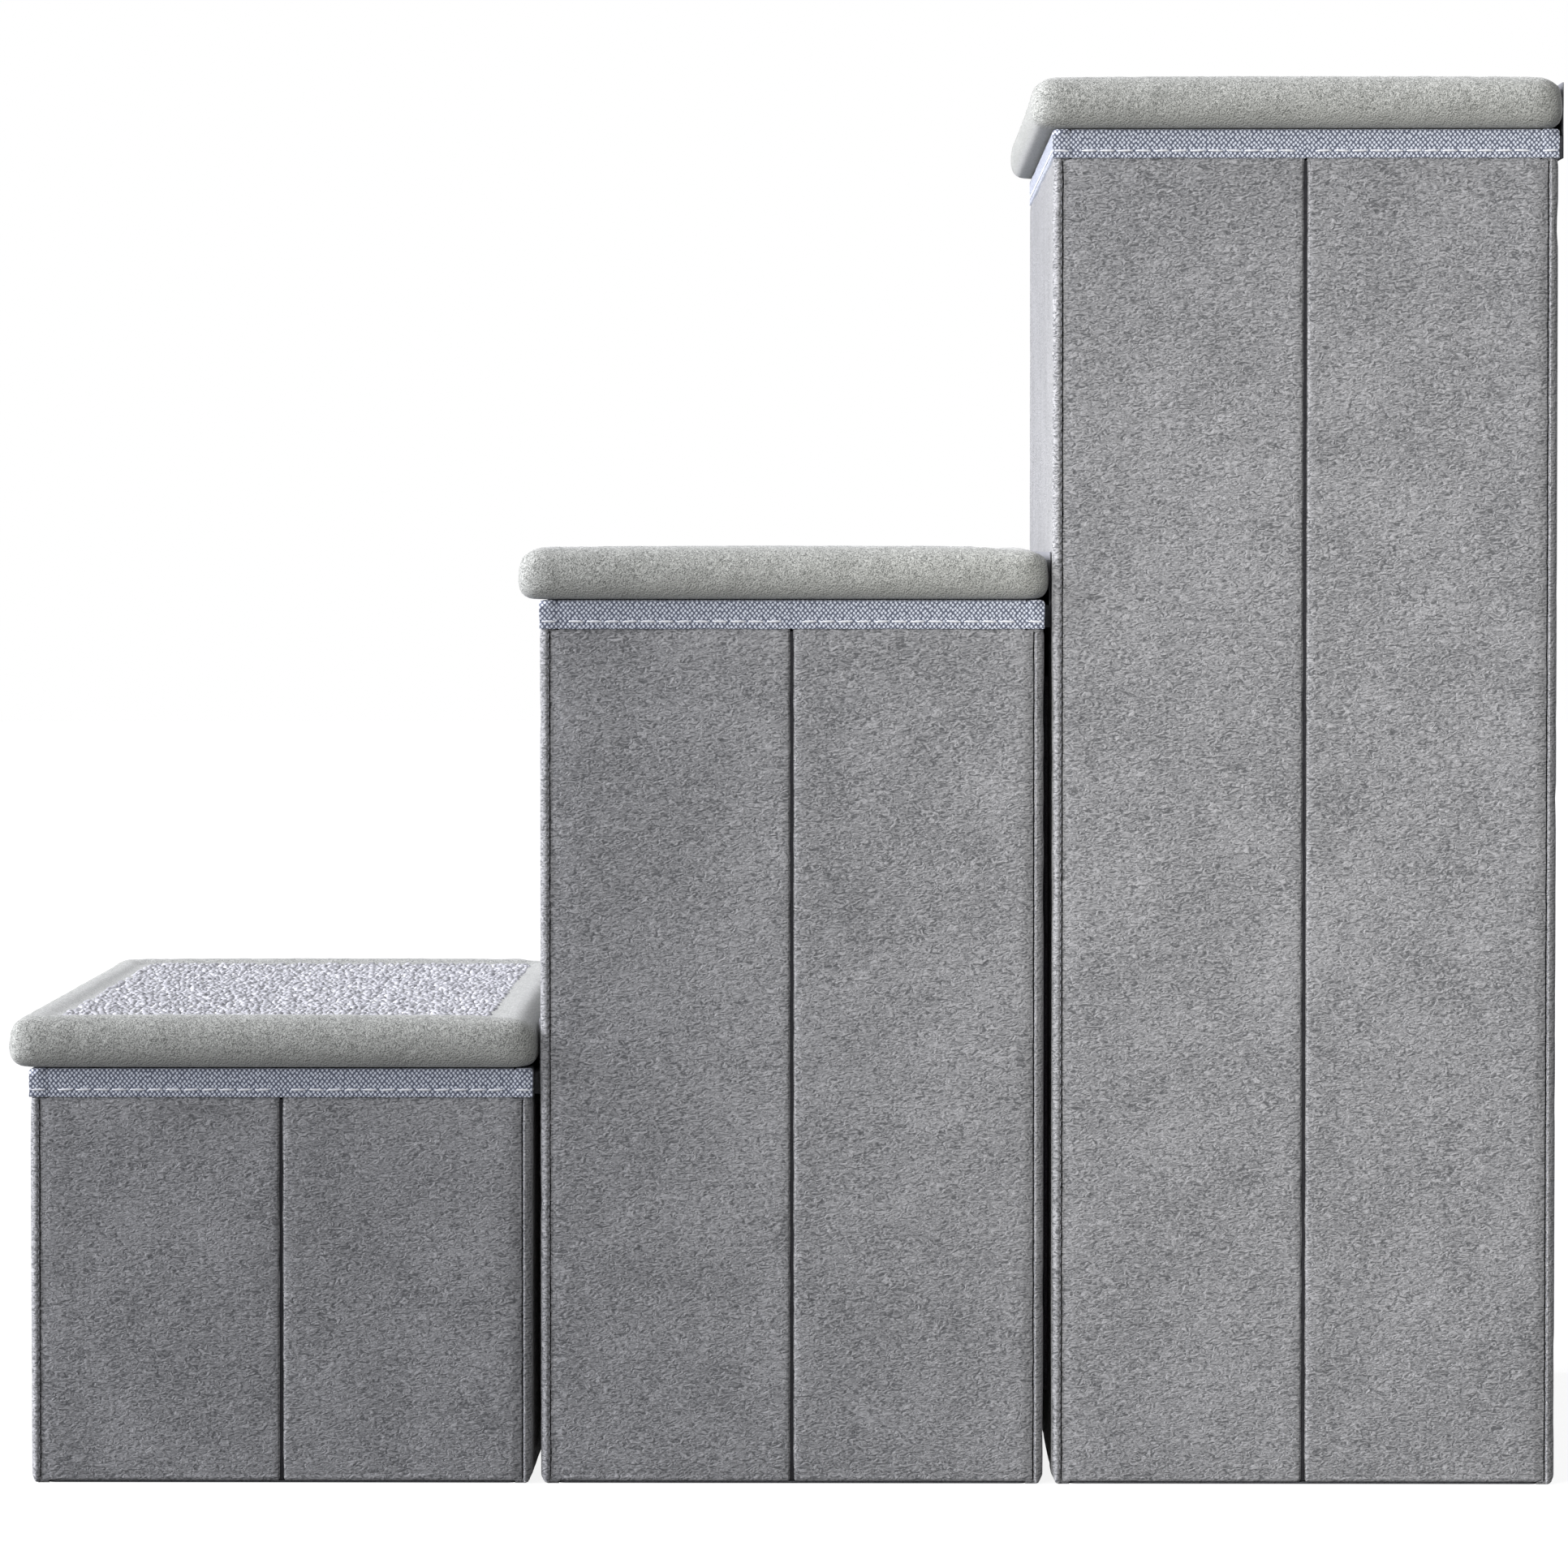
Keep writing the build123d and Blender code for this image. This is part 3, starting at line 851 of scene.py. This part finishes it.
loop = bmesh.new()
bmesh.ops.create_icosphere(loop, subdivisions=2, radius=1)
bmesh.ops.delete(loop, geom=[v for v in loop.verts if v.co.z < -0.3], context="VERTS")
loop = meshFrom(loop, "loop")
for k in steps:
    random.seed(carpetLook["seed"] + k)
    low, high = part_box(f"lid_carpet_{k}")
    centre, half = (low + high) / 2, (high - low) / 2
    backing = blockMesh(
        (low.x, low.y, low.z - carpetLook["backingDown"]),
        (high.x, high.y, high.z - carpetLook["backingUnder"]),
    )
    roundEdges(backing, [e for e in backing.edges if runsAlong(e, 2)], carpetLook["corner"], 6)
    backing = meshFrom(backing, "backing")
    showPiece(f"carpet_backing_{k}", backing, f"lid_{k}", backingFinish)

    moves = []
    pitch, jitter, edgeIn = carpetLook["pitch"], carpetLook["jitter"], carpetLook["edgeIn"]
    rowStep = pitch * math.sqrt(3) / 2
    for row in range(int(2 * half.y / rowStep) + 1):
        for column in range(int(2 * half.x / pitch) + 1):
            x = -half.x + (column + 0.5 * (row % 2)) * pitch + random.uniform(-1, 1) * jitter
            y = -half.y + row * rowStep + random.uniform(-1, 1) * jitter
            if insideRounded(x, y, half.x - edgeIn, half.y - edgeIn, carpetLook["corner"]):
                moves.append(loopMove(centre.x + x, centre.y + y, high.z))
    loops = copiesMesh(f"loops_{k}", loop, moves)
    showPiece(f"carpet_loops_{k}", loops, f"lid_{k}", yarnFinish, [f"lid_carpet_{k}"])
print("carpets made")


# Cloth hinge behind each lid: a web up to the lid's back edge, and its hem in front of the tape
hingeLook = {
    "endIn": 12 * mm, "down": 10.5 * mm, "lidDown": 1.5 * mm, "thick": 0.5 * mm, "pastWall": 2.7 * mm,
    "cell": 6 * mm, "upCell": 4 * mm, "uneven": 0.12 * mm, "unevenSize": 11 * mm,
    "hemInto": 0.1 * mm, "hemIntoWeb": 0.4 * mm, "hemDown": 2 * mm, "hemRound": 0.6 * mm,
}
# Hook-and-loop strips that hold two neighbouring boxes together, in two layers
gripLook = {
    "share": 0.32, "layerStep": 1.5 * mm, "layer": 1.45 * mm, "half": 12.5 * mm, "endIn": 30 * mm,
    "edge": 0.3 * mm,
}
# Felt floor, with its ends tucked half a millimetre under the covers of the end walls
floorLook = {
    "spread": 0.8 * mm, "foot": 0.15 * mm, "top": 0.95 * mm, "corner": 3 * mm, "cell": 8 * mm,
    "calmOver": 15 * mm, "uneven": 0.1 * mm, "unevenSize": 40 * mm,
}


def clothHinge(k):
    box = boxes[k]
    body, node = endBodies[k, "back"], endNode("binding", k, "back")
    near, far = box["near"] + hingeLook["endIn"], box["far"] - hingeLook["endIn"]
    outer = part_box(node)[1].x if k == 3 else box["back"] + hingeLook["pastWall"]
    foot, rise = box["rim"] - hingeLook["down"], box["lidHigh"].z - hingeLook["lidDown"]
    web = blockMesh((outer - hingeLook["thick"], near, foot), (outer, far, rise))
    cutAcross(web, 1, evenCuts(near, far, hingeLook["cell"]))
    cutAcross(web, 2, evenCuts(foot, rise, hingeLook["upCell"]))
    for v in web.verts:
        v.co.x += hingeLook["uneven"] * noise.noise(v.co / hingeLook["unevenSize"])
    showPiece(f"hinge_web_{k}", meshFrom(web, "web"), body, hingeFinish, [node])
    hem = blockMesh(
        (box["back"] - hingeLook["hemInto"], near, foot),
        (outer - hingeLook["hemIntoWeb"], far, box["rim"] - hingeLook["hemDown"]),
    )
    roundEdges(hem, [e for e in hem.edges if runsAlong(e, 1)], hingeLook["hemRound"], 2)
    showPiece(f"hinge_hem_{k}", meshFrom(hem, "hem"), body, hingeFinish)


def gripStrips(k):
    box = boxes[k]
    foot, head = gripLook["endIn"], box["rim"] - gripLook["endIn"]
    grip = bmesh.new()
    for side in (-1, 1):
        for layer in (0, 1):
            middleY = side * gripLook["share"] * (box["far"] - box["near"])
            lowX = box["back"] + layer * gripLook["layerStep"]
            strip = blockMesh(
                (lowX, middleY - gripLook["half"], foot),
                (lowX + gripLook["layer"], middleY + gripLook["half"], head),
            )
            grip.from_mesh(meshFrom(strip, "strip"))
    roundEdges(grip, grip.edges[:], gripLook["edge"], 1)
    grip = meshFrom(grip, "grips")
    showPiece(
        f"grip_strips_{k}", grip, endBodies[k, "back"], gripFinish,
        [endNode("cover", k, "back")],
    )


def feltFloor(k):
    # When a box folds, its felt is squashed towards the wall that stays
    stays = "back" if k < 3 else "front"
    low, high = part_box(f"floor_cloth_{k}")
    low.z, high.z = floorLook["foot"], floorLook["top"]
    low.x, high.x = low.x - floorLook["spread"], high.x + floorLook["spread"]
    corner = floorLook["corner"]
    floor = blockMesh(low, high)
    roundEdges(floor, [e for e in floor.edges if runsAlong(e, 2)], corner, 3)
    for axis in (0, 1):
        cutAcross(floor, axis, evenCuts(low[axis] + corner, high[axis] - corner, floorLook["cell"]))
    for v in floor.verts:
        spread = easeStep(inFromSides(v.co, low, high) / floorLook["calmOver"])
        v.co.z += floorLook["uneven"] * noise.noise(v.co / floorLook["unevenSize"]) * spread
    cloth = showPiece(
        f"felt_floor_{k}", meshFrom(floor, "felt"), endBodies[k, stays], feltFinish,
        [f"floor_cloth_{k}"],
    )
    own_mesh(cloth)


for k in steps:
    clothHinge(k)
    if k < 3:
        gripStrips(k)
    feltFloor(k)
print("floors, hinges and grips made")

for name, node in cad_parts.items():
    if "board" in name:
        node.data.materials.clear()
        node.data.materials.append(boardFinish)


# Studio: pale floor, a soft cool key from the left, weak fills in front and behind, and a warmer spot in
# front. A sun has its strength, the direction that it shines from and its softness in degrees.
studio = {
    "floorColour": "#7d7d7d", "floorGlow": 0.88, "floorSize": 12, "sky": 0.28,
    "sunColour": (0.94, 0.945, 1.0),
    "suns": {
        "keySun": (5.9, (-0.93, -0.075, 0.36), 24), "leftFill": (1.0, (-0.55, -0.8, 0.3), 30),
        "backFill": (0.9, (0.35, 0.9, 0.35), 40),
    },
    "spot": 34.7, "spotAt": (-0.35, -1.1, 0.55), "spotTo": (0.5, -0.19, 0.22), "spotWide": 56,
    "spotSoft": 0.12, "spotColour": (1.0, 0.982, 0.935),
}


def seenDirectly(owner):
    # 1 for a ray from the camera, also by way of a glossy or a clear surface, or else 0
    rays = addNode(owner, "ShaderNodeLightPath")
    seen = addNode(
        owner, "ShaderNodeMath", {"operation": "MAXIMUM"},
        {0: rays.outputs["Is Camera Ray"], 1: rays.outputs["Is Glossy Ray"]},
    )
    seen = addNode(
        owner, "ShaderNodeMath", {"operation": "MAXIMUM"},
        {0: seen.outputs[0], 1: rays.outputs["Is Transmission Ray"]},
    )
    return seen.outputs[0]


floorBlock = bmesh.new()
bmesh.ops.create_grid(floorBlock, x_segments=1, y_segments=1, size=studio["floorSize"])
stageFloor = bpy.data.objects.new("stage_floor", meshFrom(floorBlock, "stage_floor"))
scene.collection.objects.link(stageFloor)
paper = newMaterial("whitePaperFloor")
glow = addNode(
    paper, "ShaderNodeMath", {"operation": "MULTIPLY", 1: studio["floorGlow"]}, {0: seenDirectly(paper)}
)
plain = addNode(paper, "ShaderNodeBsdfDiffuse", {"Color": toLinear(studio["floorColour"])})
shine = addNode(paper, "ShaderNodeEmission", {"Color": (1, 1, 1, 1)}, {"Strength": glow.outputs[0]})
both = addNode(paper, "ShaderNodeAddShader", None, {0: plain.outputs[0], 1: shine.outputs[0]})
addNode(paper, "ShaderNodeOutputMaterial", None, {"Surface": both.outputs[0]})
stageFloor.data.materials.append(paper)

world = bpy.data.worlds.new("studioSky")
scene.world = world
world.use_nodes = True
world.node_tree.nodes.clear()
skyLight = addNode(world, "ShaderNodeBackground", {"Color": (1, 1, 1, 1), "Strength": studio["sky"]})
skyWhite = addNode(world, "ShaderNodeBackground", {"Color": (1, 1, 1, 1), "Strength": 1.0})
sky = addNode(
    world, "ShaderNodeMixShader", None,
    {0: seenDirectly(world), 1: skyLight.outputs[0], 2: skyWhite.outputs[0]},
)
addNode(world, "ShaderNodeOutputWorld", None, {"Surface": sky.outputs[0]})


def placeAimed(name, data, place, aim):
    holder = bpy.data.objects.new(name, data)
    scene.collection.objects.link(holder)
    holder.location = place
    holder.rotation_euler = (Vector(aim) - Vector(place)).to_track_quat("-Z", "Y").to_euler()
    return holder


def addLamp(name, kind, place, aim, settings):
    lamp = bpy.data.lights.new(name, kind)
    for key, value in settings.items():
        setattr(lamp, key, value)
    placeAimed(name, lamp, place, aim).visible_camera = False


for name, (strength, shinesFrom, softness) in studio["suns"].items():
    addLamp(
        name, "SUN", Vector(shinesFrom) * 3, (0, 0, 0),
        {"energy": strength, "angle": math.radians(softness), "color": studio["sunColour"]},
    )
addLamp(
    "frontSpot", "SPOT", studio["spotAt"], studio["spotTo"],
    {"energy": studio["spot"], "spot_size": math.radians(studio["spotWide"]), "spot_blend": 1.0,
     "shadow_soft_size": studio["spotSoft"], "color": studio["spotColour"]},
)

# Camera: level with the middle step, far away, looking along +Y
viewLook = {"place": (0.031, -2.945, 0.3595), "aim": (0.0, -0.19, 0.2695), "lens": 165, "sensor": 36}
lens = bpy.data.cameras.new("camera")
lens.lens, lens.sensor_width = viewLook["lens"], viewLook["sensor"]
scene.camera = placeAimed("camera", lens, viewLook["place"], viewLook["aim"])
scene.view_settings.view_transform = "Standard"
print("studio made")
